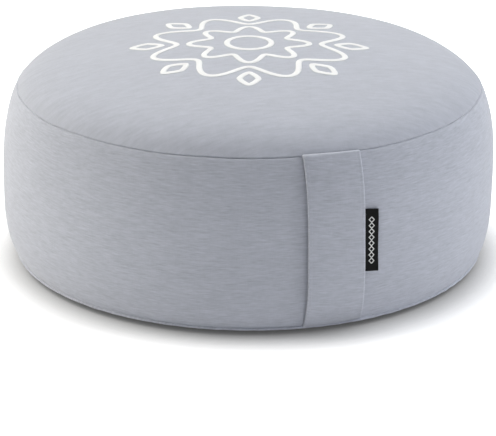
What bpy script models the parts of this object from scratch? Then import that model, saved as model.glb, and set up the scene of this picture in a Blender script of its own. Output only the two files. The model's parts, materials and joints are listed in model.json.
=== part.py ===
# A round filled floor cushion with a crowned top, a bulging side and two sewn seams,
# a flat cloth carrying strap sewn down its side, and a small folded tag under the strap's edge.
# The cushion stands on z = 0, its axis is Z, and -Y is its front. Metres throughout.

import math

import bmesh
import bpy

# Cushion
CUSHION_RADIUS = 0.178       # at its widest, low on the side
WIDEST_HEIGHT = 0.0517
TOP_SEAM_RADIUS = 0.1675
TOP_SEAM_HEIGHT = 0.1268
BOTTOM_SEAM_RADIUS = 0.1705
BOTTOM_SEAM_HEIGHT = 0.0065
FOOT_RADIUS = 0.153          # edge of the flat face that it rests on
BASE_POWER = 1.25            # how softly the base panel comes down to that face
CROWN_RISE = 0.0284          # middle of the top above the top seam
SHOULDER_SHARE = 0.407       # part of that rise that lies in the shoulder next to the seam
SHOULDER_POWER = 13.5        # how late the shoulder turns down
UPPER_SIDE_POWER = 3.12      # how full the side is above its widest line
LOWER_SIDE_POWER = 3.10      # how full it is below that line
SEAM_DEPTH = 0.0015          # how far the stitching pulls the cloth in
SEAM_REACH = 0.0025          # distance from the stitching where the pull has faded to about a third

# Strap
STRAP_WIDTH = 0.0407
STRAP_THICKNESS = 0.002
STRAP_AZIMUTH = math.radians(19.17)   # to the right of the front
STRAP_SEAT = 0.0001          # its sewn ends, from the round surface; its rounded edges add the rest of the gap
STRAP_SLACK = 0.0024         # how far its middle stands off the side
STRAP_ROUNDING = 0.0007

# Tag
TAG_SHOWING = 0.0108         # width beyond the strap's edge
TAG_TUCKED = 0.003           # width under the strap
TAG_THICKNESS = 0.001
TAG_TOP = 0.0883
TAG_BOTTOM = 0.0442
TAG_ROUNDING = 0.0003

GAP = 0.0003                 # between the tag and the side

# Fineness
AROUND = 72                  # facets round the cushion
CROWN_POINTS = 16
SIDE_POINTS = 24             # from seam to seam, for the side and for the strap on it
BASE_POINTS = 6
STRAP_ACROSS = 8
TAG_ACROSS = 3
TAG_ALONG = 8


def crown_height(t):
    """Height of the top panel where t runs from 0 in the middle to 1 at the seam:
    a shallow dome plus a shoulder that turns down late."""
    dome = 1 - t ** 2
    shoulder = 1 - t ** SHOULDER_POWER
    return TOP_SEAM_HEIGHT + CROWN_RISE * ((1 - SHOULDER_SHARE) * dome + SHOULDER_SHARE * shoulder)


def side_radius(z):
    """Radius of the side band at height z: widest at WIDEST_HEIGHT, drawn in to each seam by a power law."""
    if z > WIDEST_HEIGHT:
        share = (z - WIDEST_HEIGHT) / (TOP_SEAM_HEIGHT - WIDEST_HEIGHT)
        return CUSHION_RADIUS - (CUSHION_RADIUS - TOP_SEAM_RADIUS) * share ** UPPER_SIDE_POWER
    share = (WIDEST_HEIGHT - z) / (WIDEST_HEIGHT - BOTTOM_SEAM_HEIGHT)
    return CUSHION_RADIUS - (CUSHION_RADIUS - BOTTOM_SEAM_RADIUS) * share ** LOWER_SIDE_POWER


def side_normal(z):
    """Outward direction of the side band in its (radius, height) section."""
    step = 0.0001
    slope = (side_radius(z + step) - side_radius(z - step)) / (2 * step)
    length = math.hypot(1, slope)
    return 1 / length, -slope / length


def seam_pull(r, z):
    """How far the stitching pulls the cloth in: a soft valley along each seam."""
    top = math.hypot(r - TOP_SEAM_RADIUS, z - TOP_SEAM_HEIGHT) / SEAM_REACH
    bottom = math.hypot(r - BOTTOM_SEAM_RADIUS, z - BOTTOM_SEAM_HEIGHT) / SEAM_REACH
    return SEAM_DEPTH * (math.exp(-top ** 2) + math.exp(-bottom ** 2))


def side_height(share):
    """Height on the side, 0 at the top seam and 1 at the bottom one, with close rows at both seams."""
    middle = (TOP_SEAM_HEIGHT + BOTTOM_SEAM_HEIGHT) / 2
    half = (TOP_SEAM_HEIGHT - BOTTOM_SEAM_HEIGHT) / 2
    return middle + half * math.cos(math.pi * share)


def outline():
    """The cushion's section from the middle of the top, over the side, to the middle of the base."""
    points = []
    for i in range(CROWN_POINTS):
        t = math.sin(math.pi / 2 * i / CROWN_POINTS)
        points.append((t * TOP_SEAM_RADIUS, crown_height(t)))
    for i in range(SIDE_POINTS + 1):
        z = side_height(i / SIDE_POINTS)
        points.append((side_radius(z), z))
    for i in range(1, BASE_POINTS):
        share = (i / BASE_POINTS) ** 2
        r = BOTTOM_SEAM_RADIUS + (FOOT_RADIUS - BOTTOM_SEAM_RADIUS) * share
        points.append((r, BOTTOM_SEAM_HEIGHT * (1 - share) ** BASE_POWER))
    drawn = [(r - seam_pull(r, z) if r > 0 else 0.0, z) for r, z in points]
    return drawn + [(FOOT_RADIUS, 0.0), (0.0, 0.0)]


def on_side(azimuth, z, offset):
    """A point at the given distance outside the drawn-in side band."""
    r = side_radius(z)
    out_r, out_z = side_normal(z)
    r += offset * out_r - seam_pull(r, z)
    z += offset * out_z
    return r * math.sin(azimuth), -r * math.cos(azimuth), z


def cloth_material(name, color, roughness):
    material = bpy.data.materials.new(name)
    material.use_nodes = True
    shader = material.node_tree.nodes["Principled BSDF"]
    shader.inputs["Base Color"].default_value = (*color, 1.0)
    shader.inputs["Roughness"].default_value = roughness
    shader.inputs["Metallic"].default_value = 0.0
    return material


def add_object(name, mesh, material, collection):
    mesh.materials.append(material)
    obj = bpy.data.objects.new(name, mesh)
    collection.objects.link(obj)
    return obj


def make_cushion(collection, material):
    points = outline()
    mesh = bpy.data.meshes.new("cushion")
    mesh.from_pydata([(r, 0.0, z) for r, z in points], [(i, i + 1) for i in range(len(points) - 1)], [])
    cushion = add_object("cushion", mesh, material, collection)
    screw = cushion.modifiers.new("turn", "SCREW")
    screw.axis = "Z"
    screw.steps = AROUND
    screw.render_steps = AROUND
    screw.use_merge_vertices = True
    screw.merge_threshold = 0.00001
    screw.use_smooth_shade = True
    return cushion


def make_sheet(name, across, along, place, thickness, rounding, collection, material):
    """A flat grid laid on the side by place(u, v), with u and v from -1 to 1, thickened outwards."""
    grid = bmesh.new()
    bmesh.ops.create_grid(grid, x_segments=across, y_segments=along, size=1.0)
    for vertex in grid.verts:
        vertex.co = place(vertex.co.x, vertex.co.y)
    bmesh.ops.recalc_face_normals(grid, faces=grid.faces)
    outward = sum(face.normal.dot(face.calc_center_median()) for face in grid.faces)
    if outward < 0:
        bmesh.ops.reverse_faces(grid, faces=grid.faces)
    mesh = bpy.data.meshes.new(name)
    grid.to_mesh(mesh)
    grid.free()
    sheet = add_object(name, mesh, material, collection)
    solidify = sheet.modifiers.new("cloth", "SOLIDIFY")
    solidify.thickness = thickness
    solidify.offset = 1.0
    solidify.use_even_offset = True
    bevel = sheet.modifiers.new("turned edges", "BEVEL")
    bevel.width = rounding
    bevel.segments = 2
    bevel.limit_method = "ANGLE"
    bevel.angle_limit = math.radians(60)
    return sheet


def place_strap(u, v):
    """The strap runs down the side, v = 1 at the top seam and -1 at the bottom one, and is
    close to the side at its sewn ends and slack between them."""
    z = side_height((1 - v) / 2)
    offset = STRAP_SEAT + STRAP_SLACK * (1 - abs(v) ** 3)
    azimuth = STRAP_AZIMUTH + u * STRAP_WIDTH / 2 / (side_radius(z) + offset)
    return on_side(azimuth, z, offset)


def place_tag(u, v):
    """The tag lies on the side, from under the strap's right edge outwards."""
    z = TAG_BOTTOM + (TAG_TOP - TAG_BOTTOM) * (v + 1) / 2
    distance = STRAP_WIDTH / 2 - TAG_TUCKED + (TAG_TUCKED + TAG_SHOWING) * (u + 1) / 2
    return on_side(STRAP_AZIMUTH + distance / side_radius(z), z, GAP)


def main():
    for obj in list(bpy.data.objects):
        bpy.data.objects.remove(obj, do_unlink=True)
    collection = bpy.data.collections.new("zafu")
    bpy.context.scene.collection.children.link(collection)

    cover = cloth_material("cover cloth", (0.43, 0.45, 0.50), 0.9)
    strap = cloth_material("strap cloth", (0.43, 0.45, 0.50), 0.9)
    tag = cloth_material("tag tape", (0.006, 0.006, 0.006), 0.5)

    make_cushion(collection, cover)
    make_sheet("handle", STRAP_ACROSS, SIDE_POINTS, place_strap, STRAP_THICKNESS, STRAP_ROUNDING,
               collection, strap)
    make_sheet("label", TAG_ACROSS, TAG_ALONG, place_tag, TAG_THICKNESS, TAG_ROUNDING,
               collection, tag)


main()
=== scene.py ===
import json
import math
import bpy
import bmesh
import numpy as np
from mathutils import Matrix, Vector

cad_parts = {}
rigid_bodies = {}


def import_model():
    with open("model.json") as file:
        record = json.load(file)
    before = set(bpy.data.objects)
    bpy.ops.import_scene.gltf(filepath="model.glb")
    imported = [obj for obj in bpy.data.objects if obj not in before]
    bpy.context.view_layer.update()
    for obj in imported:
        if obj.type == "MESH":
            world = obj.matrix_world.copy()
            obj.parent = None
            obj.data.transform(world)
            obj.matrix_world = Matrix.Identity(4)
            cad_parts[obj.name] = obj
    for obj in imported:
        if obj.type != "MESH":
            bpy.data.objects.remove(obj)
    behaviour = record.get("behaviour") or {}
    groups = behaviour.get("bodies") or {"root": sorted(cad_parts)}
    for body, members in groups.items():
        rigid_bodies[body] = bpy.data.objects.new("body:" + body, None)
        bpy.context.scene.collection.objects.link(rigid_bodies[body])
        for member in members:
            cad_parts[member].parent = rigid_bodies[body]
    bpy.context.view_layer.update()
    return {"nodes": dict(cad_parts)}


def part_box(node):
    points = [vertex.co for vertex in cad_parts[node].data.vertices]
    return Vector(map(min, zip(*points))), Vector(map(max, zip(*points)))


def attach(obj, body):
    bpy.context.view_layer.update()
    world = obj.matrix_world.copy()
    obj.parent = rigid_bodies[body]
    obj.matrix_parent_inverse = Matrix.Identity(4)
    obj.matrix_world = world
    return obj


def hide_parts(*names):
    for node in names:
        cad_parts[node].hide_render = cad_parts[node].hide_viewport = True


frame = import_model()
print("frame loaded:", ", ".join(sorted(frame["nodes"])))

# The cushion's size comes from the frame; its front is -Y, and azimuths run from there to the right.
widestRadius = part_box("cushion")[1].x
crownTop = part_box("cushion")[1].z
strapAzimuth = math.radians(19.17)

cushion = {
    "topSeam": (0.1675, 0.1268),       # radius and height of the sewn line
    "bottomSeam": (0.1705, 0.0065),
    "widestHeight": 0.0517,
    "footRadius": 0.153,               # where the base lies flat
    "rollRadius": 0.00115,             # of the rolled edge under the bottom seam
    "rollOut": 0.0006,                 # how far it stands out beyond that seam
    "rollTurn": 70.0,                  # degrees that it turns above and below level
    "basePower": 1.2,                  # how softly the base comes down to the foot
    "shoulderShare": 0.407,            # part of the crown's rise that lies in its shoulder
    "shoulderPower": 13.5,
    "upperFullness": 3.12,             # how full the side is above its widest line
    "lowerFullness": 3.10,
    "valleyDepth": (0.0012, 0.0001),   # the narrow fold at the top and the bottom seam
    "valleyWidth": (0.00042, 0.00035),
    "valleyEase": 0.45,                # how much shallower it is at the left and right
    "valleyRipple": 0.16,              # how much deeper and shallower it is at random
    "valleyWaves": (20, 120),          # of that ripple, round the cushion
    "pullDepth": (0.0005, 0.0001),     # the wider pull of the stitching
    "pullWidth": 0.0055,
    "lipHeight": (0.00016, 0.0),       # cloth rolled over under the fold
    "lipPlace": (0.0013, 0.0010),
    "lipWidth": (0.0008, 0.00055),
    "puckerHeight": 0.00016,
    "puckerReach": 0.0075,
    "puckerStart": 0.0008,             # next to the fold, where they begin
    "puckerWaves": (38, 110),
    "strapFoldDepth": 0.0005,          # the seam opens where the strap is sewn in
    "strapFoldWidth": 0.0006,
    "strapFoldShift": (-0.0007, 0.0005),  # of the opened fold, down from the seam
    "strapFoldInside": 0.0004,         # from the strap's edge, where it is half open
    "strapFoldFade": 0.0005,
    "seamWander": 0.00022,             # how far the sewn line strays
    "seamWanderReach": 0.014,
    "seamWanderWaves": (3, 24),
    "unevenness": 0.00032,             # how far the fill pushes the cloth in or out on average
    "paintedLightReach": 0.010,                # painted light: above the bottom seam, how far the cloth is painted paler
    "paintedLightShare": 0.55,
    "paintedLipLight": ((0.0013, 0.0009, 0.2), (0.0014, 0.0011, 1.0)),  # painted light on the lip past each seam: how far past it, width, how much paler
    "topGrain": 15.0,                  # degrees that the top's threads are turned from left to right
    "columns": 400,
    "fineRow": 0.0002,                 # row spacing in a seam and away from it
    "coarseRow": 0.0029,
    "rowEase": 0.011,                  # how far from a seam the rows are close
    "caps": (0.0012, 0.002),           # radius of the fans in the middle of the top and of the base
}


# Random ripples round the cushion: a sum of cosines of the given wave numbers, about 1 high.
def ripple(azimuth, low, high, seed):
    dice = np.random.default_rng(seed)
    waves = np.arange(low, high + 1)
    sizes = dice.normal(size=len(waves))
    phases = dice.uniform(0, 2 * np.pi, len(waves))
    total = np.cos(np.multiply.outer(np.asarray(azimuth, float), waves) + phases) @ sizes
    return total / np.sqrt(np.sum(sizes ** 2))


# The distance along a line from its first point to each of its points.
def distanceAlong(x, y):
    return np.concatenate([[0], np.cumsum(np.hypot(np.diff(x), np.diff(y)))])


# Points at azimuths, radii and heights.
def turnedTo(azimuth, r, z):
    return np.stack(np.broadcast_arrays(r * np.sin(azimuth), -r * np.cos(azimuth), z), -1)


# The section, from the middle of the top to the middle of the base, at even steps along its length.
#   top    z = seam + rise * ((1 - k) * (1 - t^2) + k * (1 - t^p)), with t = r / seam radius
#   side   r = widest - (widest - seam radius) * share^fullness, above and below the widest line
#   base   an arc for the rolled edge under the bottom seam, a slope in to the foot, then flat
class Section:
    def __init__(self, sizes, step=0.0001):
        topRadius, topHeight = sizes["topSeam"]
        lowRadius, lowHeight = sizes["bottomSeam"]
        foot, middle = sizes["footRadius"], sizes["widestHeight"]
        t = np.linspace(0, 1, 3000)
        shoulder = sizes["shoulderShare"] * (1 - t ** sizes["shoulderPower"])
        dome = (1 - sizes["shoulderShare"]) * (1 - t ** 2)
        top = np.stack([t * topRadius, topHeight + (crownTop - topHeight) * (dome + shoulder)], 1)
        upper = np.stack([widestRadius - (widestRadius - topRadius) * (1 - t) ** sizes["upperFullness"],
                          topHeight + (middle - topHeight) * t], 1)
        lower = np.stack([widestRadius - (widestRadius - lowRadius) * t ** sizes["lowerFullness"],
                          middle + (lowHeight - middle) * t], 1)
        turn, roll = np.radians(sizes["rollTurn"] * (1 - 2 * t)), sizes["rollRadius"]
        edge = np.stack([lowRadius + sizes["rollOut"] + roll * (np.cos(turn) - 1),
                         lowHeight + roll * (np.sin(turn) - 1)], 1)
        down = 1 - (1 - t) ** sizes["basePower"]
        base = edge[-1] + (np.array([foot, 0]) - edge[-1]) * np.stack([t, down], 1)
        flat = np.stack([foot * (1 - t), 0 * t], 1)
        parts = [top, upper[1:], lower[1:], edge, base[1:], flat[1:]]
        line = np.concatenate(parts)
        along = distanceAlong(*line.T)
        ends = np.cumsum([len(p) for p in parts]) - 1
        self.topSeam, _, self.bottomSeam, _, self.foot, self.length = along[ends]
        self.s = np.linspace(0, self.length, int(self.length / step) + 1)
        self.r = np.interp(self.s, along, line[:, 0])
        self.z = np.interp(self.s, along, line[:, 1])
        # outward directions, softened so that they turn smoothly where two parts meet
        wide = 20
        soft = np.exp(-(np.arange(-wide, wide + 1) / 4) ** 2 / 2)
        soft /= soft.sum()
        slopeR, slopeZ = np.gradient(self.r, self.s), np.gradient(self.z, self.s)
        outR = np.convolve(np.pad(-slopeZ, wide, "edge"), soft, "valid")
        outZ = np.convolve(np.pad(slopeR, wide, "edge"), soft, "valid")
        size = np.hypot(outR, outZ)
        self.outR, self.outZ = outR / size, outZ / size

    # Radius and height at a distance s along the section, lifted outwards.
    def at(self, s, lift=0.0):
        r = np.interp(s, self.s, self.r) + lift * np.interp(s, self.s, self.outR)
        z = np.interp(s, self.s, self.z) + lift * np.interp(s, self.s, self.outZ)
        return r, z

    # The same, turned to an azimuth, as points.
    def point(self, s, azimuth, lift=0.0):
        return turnedTo(azimuth, *self.at(s, lift))


section = Section(cushion)
print(f"section: {section.length * 1000:.0f} mm from middle to middle")


# Faces between the rows and columns of a grid of points, numbered row by row; wrapped joins the last
# column to the first.
def gridFaces(rows, columns, wrapped):
    i = np.arange(rows - 1)[:, None] * columns
    j = np.arange(columns if wrapped else columns - 1)[None, :]
    k = (j + 1) % columns
    return np.stack([i + j, i + columns + j, i + columns + k, i + k], -1).reshape(-1, 4)


# The map of those faces' corners, from a value for each column line and one for each row line.
def gridMap(across, along):
    j, i = (a.ravel() for a in np.meshgrid(np.arange(len(across) - 1), np.arange(len(along) - 1)))
    return np.stack([across[np.stack([j, j, j + 1, j + 1], 1)],
                     along[np.stack([i, i + 1, i + 1, i], 1)]], -1)


# The fans that close a wrapped grid at its first and last row, round two points numbered after it.
def endFans(rows, columns):
    count, ring = rows * columns, np.arange(columns)
    after = np.roll(ring, -1)
    first = np.stack([np.full(columns, count), ring, after], -1)
    last = np.stack([after + count - columns, ring + count - columns, np.full(columns, count + 1)], -1)
    return np.concatenate([first, last])


# A map turned by an angle in degrees, so that the threads rise to the right by it.
def turnedMap(flat, degrees):
    c, s = math.cos(math.radians(degrees)), math.sin(math.radians(degrees))
    return np.stack([flat[..., 0] * c + flat[..., 1] * s, flat[..., 1] * c - flat[..., 0] * s], -1)


# A mesh object from points, quads and triangles, with a map in metres for each face corner and, if it is
# given, how much painted light the cloth gets at each point.
def addPiece(name, points, quads, triangles=np.zeros((0, 3), int), cornerMap=None, paintedLight=None):
    corners = np.concatenate([quads.ravel(), triangles.ravel()]).astype(np.int32)
    counts = np.repeat([4, 3], [len(quads), len(triangles)]).astype(np.int32)
    mesh = bpy.data.meshes.new(name)
    mesh.vertices.add(len(points))
    mesh.vertices.foreach_set("co", np.ravel(points).astype(np.float32))
    mesh.loops.add(len(corners))
    mesh.loops.foreach_set("vertex_index", corners)
    mesh.polygons.add(len(counts))
    mesh.polygons.foreach_set("loop_start", np.concatenate([[0], np.cumsum(counts)[:-1]]).astype(np.int32))
    mesh.polygons.foreach_set("loop_total", counts)
    mesh.update(calc_edges=True)
    if cornerMap is not None:
        layer = mesh.uv_layers.new(name="clothMap")
        layer.data.foreach_set("uv", np.ravel(cornerMap).astype(np.float32))
    if paintedLight is not None:
        layer = mesh.attributes.new("paintedLight", "FLOAT", "POINT")
        layer.data.foreach_set("value", np.ravel(paintedLight).astype(np.float32))
    mesh.validate()
    mesh.shade_smooth()
    piece = bpy.data.objects.new(name, mesh)
    bpy.context.scene.collection.objects.link(piece)
    return piece


# A piece with its modifiers worked out.
def evaluated(piece):
    return piece.evaluated_get(bpy.context.evaluated_depsgraph_get())


# The points or the normals of a mesh, as rows of three.
def meshValues(mesh, key="co"):
    values = np.empty(len(mesh.vertices) * 3)
    mesh.vertices.foreach_get(key, values)
    return values.reshape(-1, 3)


# How a filled cover settles. A copy of the plain solid is given even faces, starts a little small and
# lumpy, as a loose fill is, and is blown up as cloth that is held at its two seams.
settling = {
    "faceSize": 0.005,
    "startSmaller": 0.0035,
    "lumps": 14,                       # waves in random directions through the fill
    "lumpHeight": 0.0016,
    "lumpLength": (0.07, 0.2),
    "pressure": 4.0,
    "frames": 20,
    "mostMove": 0.008,                 # how far a point may move
    "sewnReach": 0.006,                # from a seam, where the cloth is held
    "rows": 110,                       # of the grid that feels how it settled
    "columns": 160,
    "firstRow": 0.004,
    "waves": 26,                       # the finest unevenness that is kept, in waves round the cushion
    "waveFade": 0.55,                  # how late finer waves fade
    "calmMiddle": 0.05,                # radius in the top's middle where the unevenness fades out
    "seed": 11,
}


def settledMesh():
    scene = bpy.context.scene
    work = bpy.data.objects.new("settling", frame["nodes"]["cushion"].data.copy())
    scene.collection.objects.link(work)
    merged = bmesh.new()
    merged.from_mesh(work.data)
    bmesh.ops.remove_doubles(merged, verts=merged.verts, dist=0.00001)
    merged.to_mesh(work.data)
    merged.free()
    remesh = work.modifiers.new("even faces", "REMESH")
    remesh.mode = "VOXEL"
    remesh.voxel_size = settling["faceSize"]
    even = bpy.data.meshes.new_from_object(evaluated(work))
    work.modifiers.clear()
    work.data = even
    place, out = meshValues(even), meshValues(even, "normal")
    dice, lumpCount = np.random.default_rng(settling["seed"]), settling["lumps"]
    ways = dice.normal(size=(lumpCount, 3))
    lengths = dice.uniform(*settling["lumpLength"], lumpCount)
    ways *= (2 * np.pi / lengths / np.linalg.norm(ways, axis=1))[:, None]
    lumps = np.cos(place @ ways.T + dice.uniform(0, 2 * np.pi, lumpCount)).sum(1) / math.sqrt(lumpCount / 2)
    start = place + out * (lumps * settling["lumpHeight"] - settling["startSmaller"])[:, None]
    even.vertices.foreach_set("co", start.ravel())
    r, z = np.hypot(place[:, 0], place[:, 1]), place[:, 2]
    toSeam = np.minimum(*[np.hypot(r - cushion[k][0], z - cushion[k][1]) for k in ("topSeam", "bottomSeam")])
    sewn = work.vertex_groups.new(name="sewn")
    sewn.add(np.flatnonzero(toSeam < settling["sewnReach"]).tolist(), 1.0, "REPLACE")
    cloth = work.modifiers.new("cloth", "CLOTH")
    cloth.settings.use_pressure = True
    cloth.settings.uniform_pressure_force = settling["pressure"]
    cloth.settings.effector_weights.gravity = 0
    cloth.settings.vertex_group_mass = "sewn"
    cloth.point_cache.frame_end = settling["frames"]
    for step in range(1, settling["frames"] + 1):
        scene.frame_set(step)
    move = meshValues(evaluated(work).to_mesh()) - start
    evaluated(work).to_mesh_clear()
    work.modifiers.clear()
    scene.frame_set(1)
    far = np.linalg.norm(move, axis=1, keepdims=True)
    print(f"settled: moved {far.mean() * 1000:.1f} mm on average, {far.max() * 1000:.1f} mm at most")
    move *= np.minimum(1, settling["mostMove"] / np.maximum(far, 1e-9))
    even.vertices.foreach_set("co", (start + move).ravel())
    even.update()
    return work


# The unevenness that settling leaves, as waves round the cushion at each distance along the section. The
# settled mesh is felt out from an even grid, and the mean of each row is taken off, so the section stays.
class Unevenness:
    def __init__(self, quick):
        self.rows = np.linspace(settling["firstRow"], section.bottomSeam, settling["rows"])
        self.parts = np.zeros((len(self.rows), settling["waves"] + 1), complex)
        if quick:
            return
        work = settledMesh()
        columns = settling["columns"]
        where = (self.rows[:, None], np.arange(columns)[None, :] * 2 * np.pi / columns)
        grid = section.point(*where)
        feeler = addPiece("feeler", grid.reshape(-1, 3), gridFaces(len(self.rows), columns, True))
        wrap = feeler.modifiers.new("feel", "SHRINKWRAP")
        wrap.target = work
        wrap.wrap_method = "PROJECT"
        wrap.use_negative_direction = wrap.use_positive_direction = True
        found = meshValues(evaluated(feeler).to_mesh()).reshape(grid.shape)
        proud = ((found - grid) * (section.point(*where, 1.0) - grid)).sum(-1)
        for smoothing in range(3):
            proud[1:-1] = (proud[:-2] + 2 * proud[1:-1] + proud[2:]) / 4
        waves = np.fft.rfft(proud, axis=1) / columns * 2
        kept = settling["waves"]
        fade = np.exp(-(np.arange(kept + 1) / (settling["waveFade"] * kept)) ** 2)
        self.parts = waves[:, :kept + 1] * fade
        self.parts[:, 0] = 0
        self.parts *= np.minimum(1, self.rows / settling["calmMiddle"])[:, None] ** 2
        heights = self.at(*where)
        most = np.abs(heights).max()
        print(f"unevenness: {heights.std() * 1000:.2f} mm on average, {most * 1000:.2f} mm at most")
        self.parts *= cushion["unevenness"] / max(heights.std(), 1e-6)
        bpy.data.objects.remove(feeler)
        bpy.data.objects.remove(work)

    # Outward push at a distance s along the section and an azimuth, both as arrays of one shape.
    def at(self, s, azimuth):
        s, azimuth = np.broadcast_arrays(s, azimuth)
        total = np.zeros(s.shape)
        for wave in range(1, self.parts.shape[1]):
            even = np.interp(s, self.rows, self.parts[:, wave].real)
            odd = np.interp(s, self.rows, self.parts[:, wave].imag)
            total += even * np.cos(wave * azimuth) - odd * np.sin(wave * azimuth)
        return total


uneven = Unevenness(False)


strap = {
    "width": 0.0407,
    "thickness": 0.002,
    "seat": 0.0001,                    # its inner face at the seams, above the side
    "slack": 0.0024,                   # how far its middle stands off
    "lean": 0.0002,                    # how far its lower end is to the right of its middle
    "flare": 0.0013,                   # how much further out its right edge is at its lower end
    "twist": 0.00035,                  # how far its long edges rise and fall against each other
    "grain": -5.0,                     # degrees that its threads rise to the right
    "ends": (0.0002, 0.0009),          # distance of its ends from the top and the bottom seam
    "sewnIn": 0.0009,                  # how deep it goes into a seam
    "foldRadius": 0.0010,              # of the fold where it goes into a seam
    "puff": 0.0001,                    # how far it is padded by its turned-in edges
    "stitchInset": 0.0026,             # edge stitching, from the long edge
    "stitchDent": 0.0001,
    "stitchDentWidth": 0.00045,
    "paintedEdgeHighlight": 0.75,                # painted highlight: how much paler its right edge and its folds are painted
    "paintedFoldHighlight": 0.3,
    "paintedHighlightWidth": (0.0006, 0.0008),
    "across": 40,
    "along": 170,
}


# Rows along the section: close together in the seams and wide apart between them.
def cushionRows(start, end):
    s = np.linspace(start, end, 4000)
    near = np.minimum(np.abs(s - section.topSeam), np.abs(s - section.bottomSeam))
    away = 1 - np.exp(-near / cushion["rowEase"])
    spacing = cushion["fineRow"] + (cushion["coarseRow"] - cushion["fineRow"]) * away
    count = np.concatenate([[0], np.cumsum(np.diff(s) / ((spacing[1:] + spacing[:-1]) / 2))])
    return np.interp(np.linspace(0, count[-1], math.ceil(count[-1]) + 1), count, s)


# How far the cover stands off the turned section: out unevenly by the fill, into a narrow fold with rolled
# lips at each seam, and puckered beside it. Where the strap is sewn in, the fold opens.
#   fold     depth * exp(-|distance from the seam / width|^1.5)
#   pucker   height * ripple * exp(-distance / reach) * (1 - exp(-distance / start))
def cushionLift(s, azimuth):
    lift = uneven.at(s, azimuth) * np.clip((section.bottomSeam - s) / 0.01, 0, 1)
    beyondStrap = np.abs(azimuth - strapAzimuth) * widestRadius - strap["width"] / 2
    past = (beyondStrap + cushion["strapFoldInside"]) / cushion["strapFoldFade"]
    underStrap = 1 / (1 + np.exp(np.minimum(past, 50)))
    for number, seam in enumerate((section.topSeam, section.bottomSeam)):
        off = s - seam
        waver = 1 + cushion["valleyRipple"] * ripple(azimuth, *cushion["valleyWaves"], 31 + number)
        depth = cushion["valleyDepth"][number] * waver
        depth = depth * (1 - cushion["valleyEase"] * (1 - np.cos(azimuth) ** 4))
        depth = depth + (cushion["strapFoldDepth"] - depth) * underStrap
        width = cushion["valleyWidth"][number]
        width = width + (cushion["strapFoldWidth"] - width) * underStrap
        shift = cushion["strapFoldShift"][number] * underStrap
        lift = lift - depth * np.exp(-(np.abs(off - shift) / width) ** 1.5)
        lift = lift - cushion["pullDepth"][number] * np.exp(-(off / cushion["pullWidth"]) ** 2)
        lip = (off - cushion["lipPlace"][number]) / cushion["lipWidth"][number]
        lift = lift + cushion["lipHeight"][number] * np.exp(-lip ** 2) * (1 - underStrap)
        fade = np.exp(-np.abs(off) / cushion["puckerReach"])
        above = ripple(azimuth, *cushion["puckerWaves"], 51 + number) * (off < 0)
        below = ripple(azimuth, *cushion["puckerWaves"], 61 + number) * (off >= 0)
        fade = fade * (1 - np.exp(-np.abs(off) / cushion["puckerStart"]))
        lift = lift + cushion["puckerHeight"] * fade * (above + below)
    return lift


# The cover: the section turned round on a grid and lifted, with a fan in the middle of the top and base.
def makeCushion():
    rows = np.concatenate([cushionRows(cushion["caps"][0], section.topSeam),
                           cushionRows(section.topSeam, section.bottomSeam)[1:],
                           cushionRows(section.bottomSeam, section.foot)[1:],
                           np.linspace(section.foot, section.length - cushion["caps"][1], 16)[1:]])
    columns = cushion["columns"]
    turn = strapAzimuth - np.pi + np.arange(columns) * 2 * np.pi / columns + np.pi / columns
    s, azimuth = np.broadcast_arrays(rows[:, None], turn[None, :])
    stray = cushion["seamWander"] * ripple(turn, *cushion["seamWanderWaves"], 5)[None, :]
    near = np.exp(-((s - section.topSeam) / cushion["seamWanderReach"]) ** 2)
    points = section.point(s + stray * near, azimuth, cushionLift(s, azimuth))
    points[..., 2] = np.maximum(points[..., 2], 0)
    points[rows >= section.foot, :, 2] = 0
    points = np.concatenate([points.reshape(-1, 3), [[0, 0, section.z[0]], [0, 0, 0]]])
    quads, fans = gridFaces(rows.size, columns, True), endFans(rows.size, columns)
    # Three panels: the top and base are mapped flat, and the side by its girth and its height. The side's
    # map is cut opposite the strap.
    middle = (rows[1:] + rows[:-1]) / 2
    panel = np.repeat(np.searchsorted((section.topSeam, section.bottomSeam), middle), columns)
    flatMap = turnedMap(points[..., :2], cushion["topGrain"])
    sideMap = gridMap(np.arange(columns + 1) * 2 * np.pi / columns * widestRadius, -rows)
    quadMap = np.where((panel == 1)[:, None, None], sideMap, flatMap[quads])
    cornerMap = np.append(quadMap, flatMap[fans])
    # Painted light: the cloth is painted paler above the bottom seam and on the lips past each seam.
    paintedLight = cushion["paintedLightShare"] * np.exp(-((s - section.bottomSeam) / cushion["paintedLightReach"]) ** 2)
    for seam, (past, width, share) in zip((section.topSeam, section.bottomSeam), cushion["paintedLipLight"]):
        paintedLight = np.maximum(paintedLight, share * np.exp(-((s - seam - past) / width) ** 2))
    piece = addPiece("cushionBody", points, quads, fans, cornerMap, np.append(paintedLight, [0, 0]))
    panel = np.append(panel, np.repeat([0, 2], columns))
    piece.data.polygons.foreach_set("material_index", panel.astype(np.int32))
    print(f"cushion body: {rows.size} rows of {columns}, {len(piece.data.polygons)} faces")
    return piece


# The strap's middle line beside the side, as distance down the section and lift: out of the top fold,
# down with some slack, and into the bottom fold.
#   lift = tight + slack * (1 - |v|^3), with v from -1 to 1 between its folds
def strapLine(count):
    tight = strap["seat"] + strap["thickness"] / 2
    bend = strap["foldRadius"]
    length = section.bottomSeam - section.topSeam
    inFold = np.linspace(-strap["sewnIn"], tight - bend, 5)[:-1]
    arc = np.linspace(0, np.pi / 2, 10)
    startS, endS = strap["ends"][0], length - strap["ends"][1]
    bodyS = np.linspace(startS + bend, endS - bend, count)[1:-1]
    v = 2 * (bodyS - startS - bend) / (endS - startS - 2 * bend) - 1
    bodyLift = tight + strap["slack"] * (1 - np.abs(v) ** 3)
    inward, upward = bend * (1 - np.cos(arc)), tight - bend * (1 - np.sin(arc))
    down = np.concatenate([np.full(len(inFold), startS), startS + inward, bodyS,
                           endS - inward[::-1], np.full(len(inFold), endS)])
    lift = np.concatenate([inFold, upward, bodyLift, upward[::-1], inFold[::-1]])
    return section.topSeam + down, lift


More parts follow.
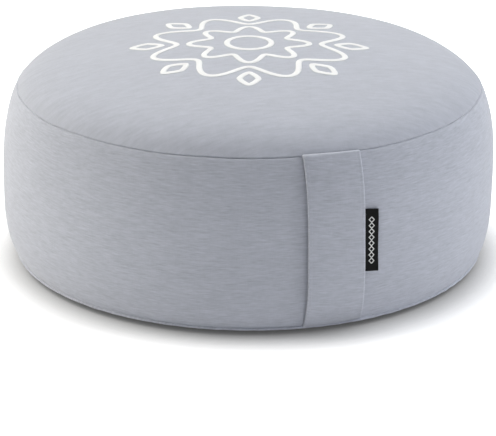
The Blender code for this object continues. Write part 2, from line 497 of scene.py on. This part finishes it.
# How far the strap's right edge flares out at a share of the way down it: a cube of that share.
def strapFlare(share):
    return strap["flare"] * np.clip(share, 0, 1) ** 3


# The strap as points: x across it, h out of its middle surface, at each row of its line.
def strapPoints(x, h):
    s, lift = strapLine(strap["along"])
    r, z = section.at(s, lift)
    tangent = np.stack([np.gradient(r), np.gradient(z)], -1)
    tangent /= np.linalg.norm(tangent, axis=1, keepdims=True)
    outR, outZ = -tangent[:, 1], tangent[:, 0]
    along = distanceAlong(r, z)
    lean = strap["lean"] * (2 * along / along[-1] - 1)
    flare = strapFlare(along / along[-1])[:, None] * (x / strap["width"] + 0.5)[None, :]
    azimuth = strapAzimuth + (x[None, :] + lean[:, None] + flare) / np.maximum(r, 0.1)[:, None]
    push = uneven.at(np.broadcast_to(s[:, None], azimuth.shape), azimuth)
    push += strap["twist"] * ripple(along * 25, 1, 7, 71)[:, None] * (x / strap["width"])[None, :]
    high = h[None, :] + push
    return turnedTo(azimuth, r[:, None] + outR[:, None] * high, z[:, None] + outZ[:, None] * high), along


# A flat strip with round edges: a face with a row of stitching along each edge, round the edge, and back.
def makeStrap():
    half, thick = strap["width"] / 2, strap["thickness"] / 2
    flat = (half - thick) * np.sin(np.linspace(-np.pi / 2, np.pi / 2, strap["across"]))
    arc = np.linspace(0, np.pi, 9)[1:-1]
    toStitch = (np.abs(flat) - (half - strap["stitchInset"])) / strap["stitchDentWidth"]
    dent = strap["stitchDent"] * np.exp(-toStitch ** 2)
    puff = strap["puff"] * (1 - (flat / half) ** 2)
    x = np.concatenate([flat, half - thick + thick * np.sin(arc),
                        flat[::-1], -half + thick - thick * np.sin(arc)])
    h = np.concatenate([thick + puff - dent, thick * np.cos(arc), -thick + 0 * flat, -thick * np.cos(arc)])
    points, along = strapPoints(x, h)
    rows, columns = points.shape[:2]
    quads, fans = gridFaces(rows, columns, True), endFans(rows, columns)
    ends = np.stack([points[0].mean(0), points[-1].mean(0)])
    across = distanceAlong(np.append(x, x[0]), np.append(h, h[0]))
    quadMap = turnedMap(gridMap(across, -along), strap["grain"])
    cornerMap = np.append(quadMap, np.zeros((fans.size, 2)))
    # Painted highlights: paler along the strap's right edge and at its folds into the seams.
    edge = np.exp(-((half - x) / strap["paintedHighlightWidth"][0]) ** 2)[None, :] * (h > -thick)[None, :]
    fromFold = along - along[np.argmax(points[:, 0, 2])]
    foldHighlight = np.exp(-(fromFold / strap["paintedHighlightWidth"][1]) ** 2)[:, None]
    paintedLight = np.maximum(strap["paintedEdgeHighlight"] * edge, strap["paintedFoldHighlight"] * foldHighlight)
    points = np.concatenate([points.reshape(-1, 3), ends])
    piece = addPiece("carryStrap", points, quads, fans, cornerMap, np.append(paintedLight, [0, 0]))
    length = along[-1]
    print(f"strap: {strap['width'] * 1000:.0f} by {length * 1000:.0f} mm, {len(piece.data.polygons)} faces")
    return piece, length


stitching = {
    "length": 0.0025,
    "pitch": 0.0031,
    "radius": 0.00015,
    "colour": (0.46, 0.475, 0.525),
    "sunk": 0.7,                       # how deep it lies, as a share of its dent
    "endGap": 0.004,                   # from the strap's ends to the first and last stitch
    "rings": 5,
    "sides": 8,
}


# Edge stitching: one bead of thread for each stitch, laid along the strap in its dent, with blunt ends.
#   girth at a level from -1 to 1 along it = radius * (1 - level^4)^0.5
def makeStitching():
    lines, ways, outs = [], [], []
    half = strap["width"] / 2 - strap["stitchInset"]
    for side in (-1, 1):
        x = np.array([side * half, side * half])
        inDent = strap["thickness"] / 2 - strap["stitchDent"] * stitching["sunk"]
        pair, along = strapPoints(x, np.array([inDent, 0.004]))
        length = along[-1] - 2 * stitching["endGap"]
        count = int(length / stitching["pitch"])
        at = stitching["endGap"] + (np.arange(count) + 0.5) * length / count
        line, ahead, above = (np.stack([np.interp(a, along, pair[:, c, k]) for k in range(3)], -1)
                              for a, c in ((at, 0), (at + 0.001, 0), (at, 1)))
        lines.append(line)
        ways.append(ahead - line)
        outs.append(above - line)
    line, way, out = (np.concatenate(a) for a in (lines, ways, outs))
    way /= np.linalg.norm(way, axis=1, keepdims=True)
    out /= np.linalg.norm(out, axis=1, keepdims=True)
    side = np.cross(way, out)
    rings, sides = stitching["rings"], stitching["sides"]
    level = np.linspace(-1, 1, rings + 2)[1:-1]
    girth = (1 - level ** 4) ** 0.5
    around = np.arange(sides) * 2 * np.pi / sides
    body = (line[:, None, None] + way[:, None, None] * (level * stitching["length"] / 2)[None, :, None, None]
            + stitching["radius"] * girth[None, :, None, None]
            * (side[:, None, None] * np.cos(around)[None, None, :, None]
               + out[:, None, None] * np.sin(around)[None, None, :, None]))
    tips = line[:, None] + way[:, None] * (np.array([-1, 1]) * stitching["length"] / 2)[None, :, None]
    count = rings * sides
    points = np.concatenate([body.reshape(len(line), count, 3), tips], 1).reshape(-1, 3)
    shift = (np.arange(len(line)) * (count + 2))[:, None, None]
    piece = addPiece("strapStitching", points, (gridFaces(rings, sides, True)[None] + shift).reshape(-1, 4),
                     (endFans(rings, sides)[None] + shift).reshape(-1, 3))
    print(f"stitching: {len(line)} stitches")
    return piece


tag = {
    "showing": 0.0108,                 # beyond the strap's edge
    "tucked": 0.003,
    "aside": 0.0002,                   # to the right
    "top": 0.0888,
    "bottom": 0.0446,
    "droop": 0.0016,                   # how far its folded edge hangs down
    "tape": 0.00038,                   # thickness of the tape
    "hollow": 0.00022,                 # between its two layers
    "standOff": 0.0003,
    "lift": 0.0007,                    # how far its folded edge stands off, most of all near its top
    "liftSwing": 0.45,                 # how much of that changes down the tag
    "curlPower": 1.6,                  # how late it lifts off on the way to that edge
    "lozenges": 8,                     # woven in a chain
    "lozengePitch": 0.0042,
    "lozengeHalf": 0.0019,
    "lozengeLine": (0.12, 0.3),        # from the middle of its line, where that begins to fade and has faded
    "rib": 0.0005,
    "black": (0.0050, 0.0052, 0.0053),
    "white": (0.72, 0.72, 0.70, 1.0),
}


# The tag: a tape folded double, its fold away from the strap, following the side.
#   curl = lift * swing down the tag * (share of the way to the fold)^power
def makeTag():
    start = strap["width"] / 2 - tag["tucked"] + tag["aside"]
    bend = (tag["tape"] + tag["hollow"]) / 2
    reach = tag["tucked"] + tag["showing"] - bend - tag["tape"] / 2
    flat = np.linspace(0, reach, 16)
    arc = np.linspace(0, np.pi, 8)[1:-1]
    x = np.concatenate([flat, reach + bend * np.sin(arc), flat[::-1]])
    h = np.concatenate([0 * flat, bend * (1 - np.cos(arc)), 2 * bend + 0 * flat]) + tag["tape"] / 2
    z = np.linspace(tag["bottom"], tag["top"], 40)
    out = np.clip(x / reach, 0, 1)
    side = (section.s > section.topSeam) & (section.s < section.bottomSeam)
    low = z[:, None] - tag["droop"] * out[None, :]
    s = np.interp(-low, -section.z[side][::10], section.s[side][::10])
    share = (z - tag["bottom"]) / (tag["top"] - tag["bottom"])
    flare = strapFlare((s - section.topSeam) / (section.bottomSeam - section.topSeam))
    azimuth = strapAzimuth + (start + x[None, :] + flare) / np.interp(s, section.s, section.r)
    swing = 1 - tag["liftSwing"] + tag["liftSwing"] * np.cos(2 * np.pi * (share - 0.9))
    curl = tag["lift"] * swing[:, None] * (out ** tag["curlPower"])[None, :]
    lift = tag["standOff"] + h[None, :] + curl + uneven.at(s, azimuth)
    points = section.point(s, azimuth, lift).reshape(-1, 3)
    path = distanceAlong(x, h)
    piece = addPiece("sideTag", points, gridFaces(len(z), len(x), False), cornerMap=gridMap(path, z))
    solid = piece.modifiers.new("tape", "SOLIDIFY")
    solid.thickness = tag["tape"]
    solid.offset = 0
    print(f"tag: tape {path[-1] * 1000:.0f} by {(tag['top'] - tag['bottom']) * 1000:.0f} mm, folded double")
    return piece, path[-1]


rosette = {
    "strokeWidth": 0.0043,
    "strokeHeight": 0.00042,
    "ring": 0.016,
    "innerWave": (0.0365, 0.0068, 8, 0.0),  # radius, swing, lobes, turn
    "outerWave": (0.0625, 0.0105, 8, math.pi / 8),
    "lozenge": (0.0735, 0.0108, 0.0066),  # distance out, half length, half width
    "lozengePower": 1.3,               # 1 is straight sided and 2 an ellipse
    "domePower": 0.7,                  # of the stroke's height across it
    "under": 0.35,                     # depth of its closed underside, as a share of its height
    "clearance": 0.00004,
    "ragged": 0.022,                   # how uneven the ends of the threads are
    "points": 8,                       # from edge to edge of the stroke
    "step": 0.0006,
    "colour": (0.88, 0.88, 0.87),
    "strand": 0.00042,                 # width of one thread
    "strandDepth": 0.00003,
}


# One closed stroke of satin stitch along a closed path on the top: a low dome across it, laid on the
# cover, with the ends of its threads a little uneven.
def strokePoints(path, seed):
    ahead, behind = np.roll(path, -1, 0), np.roll(path, 1, 0)
    way = ahead - behind
    way /= np.linalg.norm(way, axis=1, keepdims=True)
    side = np.stack([way[:, 1], -way[:, 0]], -1)
    turn = np.linspace(0, np.pi, rosette["points"] + 1)
    across = np.concatenate([-np.cos(turn), [0.0]])
    up = np.concatenate([np.sin(turn) ** rosette["domePower"], [-rosette["under"]]])
    dice = np.random.default_rng(seed)
    ragged = 1 + dice.normal(0, rosette["ragged"], (len(path), 2))
    half = rosette["strokeWidth"] / 2
    width = half * across[None, :] * np.where(across[None, :] < 0, ragged[:, :1], ragged[:, 1:])
    flat = path[:, None, :] + side[:, None, :] * width[..., None]
    r, azimuth = np.hypot(flat[..., 0], flat[..., 1]), np.arctan2(flat[..., 0], -flat[..., 1])
    onTop = section.s < section.topSeam
    s = np.interp(r, section.r[onTop], section.s[onTop])
    lift = rosette["clearance"] + rosette["strokeHeight"] * up[None, :] + uneven.at(s, azimuth)
    return section.point(s, azimuth, lift)


# A closed line's points again, at even steps along it.
def closedPath(x, y):
    x, y = np.append(x, x[0]), np.append(y, y[0])
    along = distanceAlong(x, y)
    steps = int(along[-1] / rosette["step"])
    at = np.arange(steps) * along[-1] / steps
    return np.stack([np.interp(at, along, x), np.interp(at, along, y)], -1)


# A plain rosette in white line: a ring, two closed waves and a lozenge in each outer hollow.
#   wave      r = radius + swing * cos(lobes * angle)
#   lozenge   |x / a|^p + |y / b|^p = 1
def makeRosette():
    turn = np.linspace(0, 2 * np.pi, 1441)[:-1]
    paths = [closedPath(rosette["ring"] * np.cos(turn), rosette["ring"] * np.sin(turn))]
    for radius, swing, lobes, start in (rosette["innerWave"], rosette["outerWave"]):
        r = radius + swing * np.cos(lobes * (turn - start))
        paths.append(closedPath(r * np.cos(turn), r * np.sin(turn)))
    out, long, wide = rosette["lozenge"]
    lobes = rosette["outerWave"][2]
    bend = 2 / rosette["lozengePower"]
    shapeX = long * np.sign(np.cos(turn)) * np.abs(np.cos(turn)) ** bend + out
    shapeY = wide * np.sign(np.sin(turn)) * np.abs(np.sin(turn)) ** bend
    for k in range(lobes):
        c, s = np.cos(2 * np.pi * k / lobes), np.sin(2 * np.pi * k / lobes)
        paths.append(closedPath(shapeX * c - shapeY * s, shapeX * s + shapeY * c))
    points, quads, maps, start = [], [], [], 0
    for number, path in enumerate(paths):
        ring = strokePoints(path, 200 + number)
        rows, columns = ring.shape[:2]
        faces = gridFaces(rows + 1, columns, True)
        along = np.arange(rows + 1) * rosette["step"]
        across = np.arange(columns + 1) * rosette["strokeWidth"] / rosette["points"]
        maps.append(gridMap(across, along)[..., ::-1])
        quads.append(faces % (rows * columns) + start)
        points.append(ring.reshape(-1, 3))
        start += rows * columns
    piece = addPiece("rosetteStitching", np.concatenate(points), np.concatenate(quads),
                     cornerMap=np.concatenate(maps))
    print(f"rosette: {len(paths)} strokes, {len(piece.data.polygons)} faces")
    return piece


# A wire in a material: sums, products and quotients of wires add Math nodes, so a mask reads as a formula.
class Wire:
    def __init__(self, tree, socket=None):
        self.tree, self.socket = tree, socket

    # Adds a node: its type, its settings, which are set first, and values or wires for its sockets.
    def node(self, kind, settings=None, sockets=None, out=0):
        made = self.tree.nodes.new(kind)
        for key, value in (settings or {}).items():
            setattr(made, key, value)
        for key, value in (sockets or {}).items():
            if isinstance(value, Wire):
                self.tree.links.new(value.socket, made.inputs[key])
            else:
                made.inputs[key].default_value = value
        return Wire(self.tree, made.outputs[out])

    # A Math node on this wire and others.
    def math(self, operation, *others):
        values = (self, *others)
        return self.node("ShaderNodeMath", {"operation": operation}, dict(enumerate(values)))

    def __add__(self, other):
        return self.math("ADD", other)

    def __sub__(self, other):
        return self.math("SUBTRACT", other)

    def __mul__(self, other):
        return self.math("MULTIPLY", other)

    def __truediv__(self, other):
        return self.math("DIVIDE", other)

    def __rsub__(self, other):
        return self.math("MULTIPLY_ADD", -1.0, other)

    def __rtruediv__(self, other):
        return self.math("POWER", -1.0) * other

    __radd__ = __add__
    __rmul__ = __mul__

    # 0 below the first value, 1 above the second, and smooth between.
    def ramp(self, low, high):
        return self.node("ShaderNodeMapRange", {"interpolation_type": "SMOOTHSTEP"},
                         {"Value": self, "From Min": low, "From Max": high})


# A new material: its wire to start from, and its shader with the plain values set on its own sockets.
def newMaterial(name, plain):
    material = bpy.data.materials.new(name)
    material.use_nodes = True
    tree = material.node_tree
    shader = tree.nodes["Principled BSDF"]
    for key, value in plain.items():
        shader.inputs[key].default_value = value
    return material, Wire(tree), shader


# The two directions of a piece's cloth map, in metres.
def clothMapWires(wire):
    place = wire.node("ShaderNodeUVMap", {"uv_map": "clothMap"})
    across = place.node("ShaderNodeSeparateXYZ", None, {0: place})
    return across, Wire(across.tree, across.socket.node.outputs[1])


# The colour, relief and roughness that change over a piece.
def feed(shader, colour, relief, rough=None):
    bump = relief.node("ShaderNodeBump", None, {"Strength": 1.0, "Distance": 1.0, "Height": relief})
    for socketName, wire in (("Base Color", colour), ("Normal", bump), ("Roughness", rough)):
        if wire is not None:
            wire.tree.links.new(wire.socket, shader.inputs[socketName])


# A colour made lighter or darker by a wire.
def shaded(colour, tone):
    return tone.node("ShaderNodeVectorMath", {"operation": "SCALE"}, {0: colour, "Scale": tone})


# A noise stretched to a grain: lengths in metres along and across the thread.
def grain(wire, along, across, length, width, detail=2.0, seed=0.0):
    place = wire.node("ShaderNodeCombineXYZ", None, {"X": along / length, "Y": across / width, "Z": seed})
    return wire.node("ShaderNodeTexNoise", {"noise_dimensions": "3D"},
                     {"Vector": place, "Scale": 1.0, "Detail": detail, "Roughness": 0.55})


cloth = {
    "colour": (0.415, 0.430, 0.480),
    "weft": 0.00052,                   # spacing of the threads that run across, and of those that run down
    "warp": 0.00046,
    "threadLength": 0.0068,            # how far a thread keeps its tone
    "threadTone": 0.22,                # how much threads differ, as a share of the colour
    "slubLength": 0.011,               # of the thick places in the threads
    "slubWidth": 0.0012,
    "slubTone": 0.16,
    "warpTone": 0.05,
    "warpSize": (0.0008, 0.007),       # of its patches, across and down
    "mottleTone": 0.03,                # the dye, in large soft patches
    "mottleSize": (0.035, 0.022),
    "paintedWeaveShade": 0.06,                 # painted shade in the gaps between threads: how much paler a raised thread is
    "evenTone": 0.972,                 # of the cloth before any of these
    "weaveDepth": 0.00003,
    "slubHeight": 0.00006,
    "roughness": 0.92,
    "sheen": 0.35,                     # fine fibres that pale the cloth where it is seen aslant
    "paintedLightTone": 0.28,                # how much paler the cloth is painted where it gets painted light
    "topThreads": 0.46,                # contrast of the top's threads, as a share of the side's
    "topSlubs": 0.8,
    "topSlubWidth": 0.0032,
}


# The cover's plain weave: uneven weft threads along the map's first axis, each with a tone of its own that
# changes along it, thick and thin slubs, and finer warp threads across. Weft rises over every other warp:
#   height = ridge of the weft * (0.7 + 0.3 * sine along it, shifted by half in every other row)
def clothMaterial(name, seed, isTop=False):
    threadTone = cloth["threadTone"] * (cloth["topThreads"] if isTop else 1)
    slubTone = cloth["slubTone"] * (cloth["topSlubs"] if isTop else 1)
    slubWidth = cloth["topSlubWidth"] if isTop else cloth["slubWidth"]
    material, wire, shader = newMaterial(name, {"Sheen Weight": cloth["sheen"], "Sheen Roughness": 0.5,
                                                "Specular IOR Level": 0.2})
    u, v = clothMapWires(wire)
    rows = v / cloth["weft"]
    row = rows.math("FLOOR")
    ridge = (rows.math("FRACT") - 0.5).math("ABSOLUTE") * 2
    ridge = 1.0 - ridge * ridge
    over = (u * (2 * math.pi / cloth["warp"]) + row * math.pi).math("SINE") * 0.3 + 0.7
    weave = ridge * over
    thread = grain(wire, u, row, cloth["threadLength"], 1 / 7.31, 1.5, seed)
    slub = grain(wire, u, v, cloth["slubLength"], slubWidth, 2.0, seed + 3.7)
    warp = grain(wire, u, v, *cloth["warpSize"], 2.0, seed + 7.1)
    mottle = grain(wire, u, v, *cloth["mottleSize"], 2.0, seed + 11.3)
    # Painted light, read at each point: paler at the strap's right edge and folds, above the cushion's
    # bottom seam and on the seam lips.
    paintedLight = wire.node("ShaderNodeAttribute", {"attribute_name": "paintedLight"}, out=2)
    # Raised threads are paler than the gaps between them: painted shade.
    shade = ((thread - 0.5) * (2 * threadTone) + (slub - 0.5) * (2 * slubTone)
             + (warp - 0.5) * (2 * cloth["warpTone"]) + (mottle - 0.5) * (2 * cloth["mottleTone"])
             + weave * cloth["paintedWeaveShade"] + cloth["evenTone"]) * (paintedLight * cloth["paintedLightTone"] + 1.0)
    relief = weave * cloth["weaveDepth"] + (slub + thread * 0.5) * cloth["slubHeight"]
    rough = (slub - 0.5) * 0.1 + cloth["roughness"]
    feed(shader, shaded(cloth["colour"], shade), relief, rough)
    return material


# White satin stitch: threads laid across the stroke, each a fine ridge.
def rosetteMaterial():
    material, wire, shader = newMaterial("rosetteThread", {"Sheen Weight": 0.1, "Specular IOR Level": 0.4})
    u, v = clothMapWires(wire)
    waver = grain(wire, u, v, 0.0008, 0.004, 1.0) * 3.0
    strands = (u * (2 * math.pi / rosette["strand"]) + waver).math("SINE")
    # The colour is a little darker where the relief dips between threads: painted shade.
    tone = strands * 0.015 + grain(wire, u, v, 0.0009, 0.003, 1.0, 4.0) * 0.04 + 0.96
    feed(shader, shaded(rosette["colour"], tone), strands * rosette["strandDepth"], strands * 0.05 + 0.55)
    return material


# Sewing thread: a fine noise stands for its twist, since a stitch is only a few pixels long.
def stitchMaterial():
    material, wire, shader = newMaterial("sewingThread", {"Roughness": 0.7, "Specular IOR Level": 0.3})
    place = wire.node("ShaderNodeTexCoord", out=3)
    twist = wire.node("ShaderNodeTexNoise", None, {"Vector": place, "Scale": 2500.0, "Detail": 1.0})
    feed(shader, shaded(stitching["colour"], twist * 0.3 + 0.85), twist * 0.00006)
    return material


# Black satin tape with a small chain of lozenges woven in white down the middle of what shows.
def tagMaterial(pathLength):
    material, wire, shader = newMaterial("tagTape", {"Specular IOR Level": 0.08})
    u, v = clothMapWires(wire)
    middle = pathLength / 2 + tag["showing"] * 0.5
    x = (u - middle).math("ABSOLUTE")
    pitch, half = tag["lozengePitch"], tag["lozengeHalf"]
    chain = pitch * tag["lozenges"]
    first = (tag["bottom"] + tag["top"] - chain) / 2
    y = (((v - first) / pitch).math("FRACT") - 0.5).math("ABSOLUTE") * pitch
    outline = (x / half + y / half - 1.0).math("ABSOLUTE")
    last = first + chain
    inChain = v.ramp(first - 0.0001, first + 0.0001) * (1.0 - v.ramp(last - 0.0001, last + 0.0001))
    mark = (1.0 - outline.ramp(*tag["lozengeLine"])) * inChain
    satin = grain(wire, u, v, 0.0004, 0.003, 1.0)
    rib = (v * (2 * math.pi / tag["rib"])).math("SINE")
    black = shaded(tag["black"], satin * 1.2 + 0.4)
    colour = wire.node("ShaderNodeMix", {"data_type": "RGBA"},
                       {"Factor": mark, 6: black, 7: tag["white"]}, out=2)
    feed(shader, colour, rib * 0.00002 + mark * 0.00008, satin * 0.15 + 0.4)
    return material


body = makeCushion()
for number, panelName in enumerate(("coverTop", "coverSide", "coverBase")):
    body.data.materials.append(clothMaterial(panelName, 5.0 * number, number == 0))
strapPiece, strapLength = makeStrap()
strapPiece.data.materials.append(clothMaterial("strapCloth", 23.0))
stitches = makeStitching()
stitches.data.materials.append(stitchMaterial())
tagPiece, tapeLength = makeTag()
tagPiece.data.materials.append(tagMaterial(tapeLength))
threadWork = makeRosette()
threadWork.data.materials.append(rosetteMaterial())

for piece in (body, strapPiece, stitches, tagPiece, threadWork):
    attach(piece, "root")
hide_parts("cushion")
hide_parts("handle")
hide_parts("label")


# A pale floor that glows a little, as a light table does, and is darker where the cushion is near.
floor = {
    "half": 6.0,
    "colour": 0.97,
    "glow": 0.32,                      # what the cushion gets of it
    "seenGlow": 0.50,                  # what the camera sees of it
    "contactReach": 0.036,
    "contactShade": 0.9,               # how dark the floor is where it touches, 1 for black
    "contactTilt": 10.0,               # degrees; the shade falls forwards, as under light from behind
    "contactTurn": 28.0,               # and a little to the right
}


def makeFloor():
    h = floor["half"]
    points = np.array([[-h, -h, 0], [h, -h, 0], [h, h, 0], [-h, h, 0]], float)
    piece = addPiece("floor", points, np.array([[0, 1, 2, 3]]))
    material, wire, shader = newMaterial("paleFloor", {"Roughness": 0.9, "Specular IOR Level": 0.1})
    tilt, turn = math.radians(floor["contactTilt"]), math.radians(floor["contactTurn"])
    back = math.sin(tilt)
    toBack = wire.node("ShaderNodeCombineXYZ", None,
                       {"X": -back * math.sin(turn), "Y": back * math.cos(turn), "Z": math.cos(tilt)})
    near = wire.node("ShaderNodeAmbientOcclusion", {"samples": 12},
                     {"Distance": floor["contactReach"], "Normal": toBack}, out=1)
    shade = near * floor["contactShade"] + (1 - floor["contactShade"])
    tone = shade * floor["colour"]
    seen = wire.node("ShaderNodeLightPath", out=0)
    glow = shade * (seen * (floor["seenGlow"] - floor["glow"]) + floor["glow"])
    wire.tree.links.new(tone.socket, shader.inputs["Base Color"])
    wire.tree.links.new(glow.socket, shader.inputs["Emission Color"])
    shader.inputs["Emission Strength"].default_value = 1.0
    piece.data.materials.append(material)


# Softboxes round the cushion, all turned to it: azimuth from the front to the right and elevation in
# degrees, distance, width, height, power in watts, and colour. The room gives no light, and is seen white.
softboxes = {
    "overhead": (0, 90, 1.92, 0.7, 0.7, 9.2, (0.97, 0.98, 1.0)),
    "left": (-90, 14, 1.9, 1.2, 0.9, 9.4, (1.0, 0.95, 0.80)),
    "leftHigh": (-90, 45, 1.9, 1.2, 1.0, 17.2, (1.0, 0.98, 0.95)),
    "leftBehind": (-130, 28, 1.9, 1.2, 0.9, 8.0, (1.0, 0.96, 0.92)),
    "right": (90, 14, 1.9, 1.2, 0.9, 10.2, (0.89, 0.93, 1.0)),
    "rightHigh": (90, 45, 1.9, 1.2, 1.0, 10.6, (0.98, 0.99, 1.0)),
    "rightBehind": (135, 50, 2.0, 1.0, 0.9, 4.8, (0.97, 0.99, 1.0)),
    "behind": (180, 55, 2.0, 1.6, 1.0, 11.6, (0.97, 1.0, 1.0)),
    "front": (0, 8, 2.2, 1.6, 0.5, 2.8, (0.70, 0.82, 1.0)),
    "frontRight": (42, 8, 2.2, 1.2, 0.5, 2.4, (0.89, 0.87, 1.0)),
}
softboxAim = (0, 0, 0.08)              # the point that they face


def makeLights():
    for name, (azimuth, elevation, distance, width, height, power, colour) in softboxes.items():
        turn, rise = math.radians(azimuth), math.radians(elevation)
        light = bpy.data.lights.new(name, "AREA")
        light.shape = "RECTANGLE"
        light.size, light.size_y = width, height
        light.energy = power
        light.color = colour
        lamp = bpy.data.objects.new(name, light)
        away = Vector((math.sin(turn) * math.cos(rise), -math.cos(turn) * math.cos(rise), math.sin(rise)))
        lamp.location = away * distance + Vector(softboxAim)
        lamp.rotation_euler = away.to_track_quat("Z", "Y").to_euler()
        bpy.context.scene.collection.objects.link(lamp)
    world = bpy.data.worlds.new("room")
    world.use_nodes = True
    tree = world.node_tree
    back = tree.nodes["Background"]
    seen = Wire(tree).node("ShaderNodeLightPath", out=0)
    back.inputs["Color"].default_value = (1, 1, 1, 1)
    tree.links.new(seen.socket, back.inputs["Strength"])
    bpy.context.scene.world = world


# The camera stands low in front and looks down on the cushion with a long lens, rolled a quarter degree.
camera = {
    "distance": 1.8093,
    "aside": -0.00025,
    "elevation": 19.80,
    "centreHeight": 0.0623,
    "lookDown": 21.04,
    "roll": 0.26,
    "lens": 179.5,
}


def makeCamera():
    data = bpy.data.cameras.new("camera")
    data.sensor_width = 36.0
    data.lens = camera["lens"]
    data.clip_end = 50.0
    eye = bpy.data.objects.new("camera", data)
    rise = math.radians(camera["elevation"])
    eye.location = (camera["aside"], -camera["distance"] * math.cos(rise),
                    camera["centreHeight"] + camera["distance"] * math.sin(rise))
    tilt = Matrix.Rotation(math.radians(90 - camera["lookDown"]), 3, "X")
    roll = Matrix.Rotation(math.radians(camera["roll"]), 3, "Z")
    eye.rotation_euler = (tilt @ roll).to_euler()
    bpy.context.scene.collection.objects.link(eye)
    bpy.context.scene.camera = eye


makeFloor()
makeLights()
makeCamera()
scene = bpy.context.scene
scene.view_settings.view_transform = "Standard"
scene.view_settings.look = "None"
print("floor, softboxes and camera are set")
